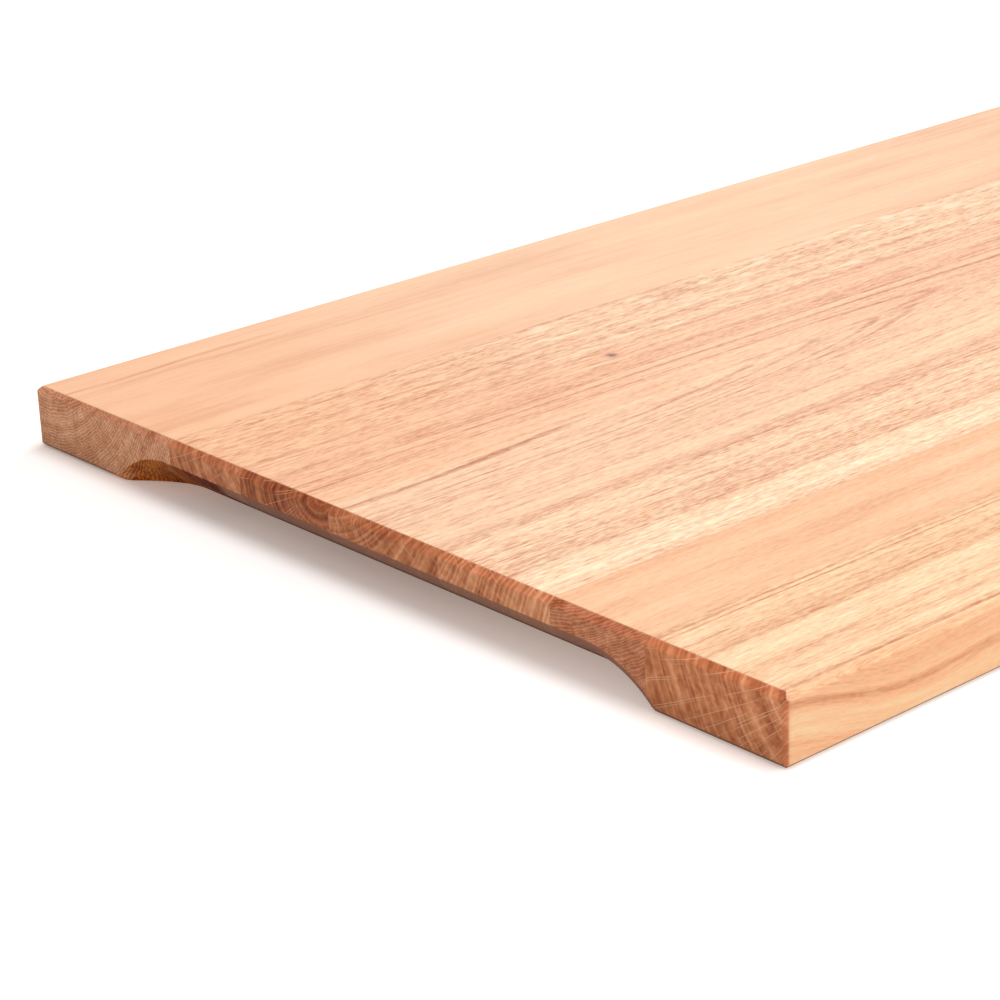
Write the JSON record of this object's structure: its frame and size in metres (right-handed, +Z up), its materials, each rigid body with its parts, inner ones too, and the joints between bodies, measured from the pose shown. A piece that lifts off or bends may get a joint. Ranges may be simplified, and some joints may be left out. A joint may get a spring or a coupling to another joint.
{
  "type": "chopping block",
  "caption": "Large rectangular oak chopping block of edge-glued full-length staves, with chamfered edges and a finger recess under each end for lifting.",
  "frame": {"origin": "under the middle of the board, on the underside", "axes": "+X along the staves, +Y towards the wide back stave, +Z up out of the working face"},
  "size_m": [0.6, 0.4, 0.0246],
  "materials": {
    "oak_front": "oiled, satin",
    "oak_second": "oiled, satin",
    "oak_third": "oiled, satin",
    "oak_middle": "oiled, satin",
    "oak_fifth": "oiled, satin",
    "oak_sixth": "oiled, satin",
    "oak_back": "oiled, satin",
    "wood_glue": "cured wood glue"
  },
  "bodies": {
    "root": {"stave_1_front": "oak_front", "stave_2": "oak_second", "stave_3": "oak_third", "stave_4_middle": "oak_middle", "stave_5": "oak_fifth", "stave_6": "oak_sixth", "stave_7_back": "oak_back", "glue_line_1_2": "wood_glue", "glue_line_2_3": "wood_glue", "glue_line_3_4": "wood_glue", "glue_line_4_5": "wood_glue", "glue_line_5_6": "wood_glue", "glue_line_6_7": "wood_glue"}
  },
  "joints": []
}
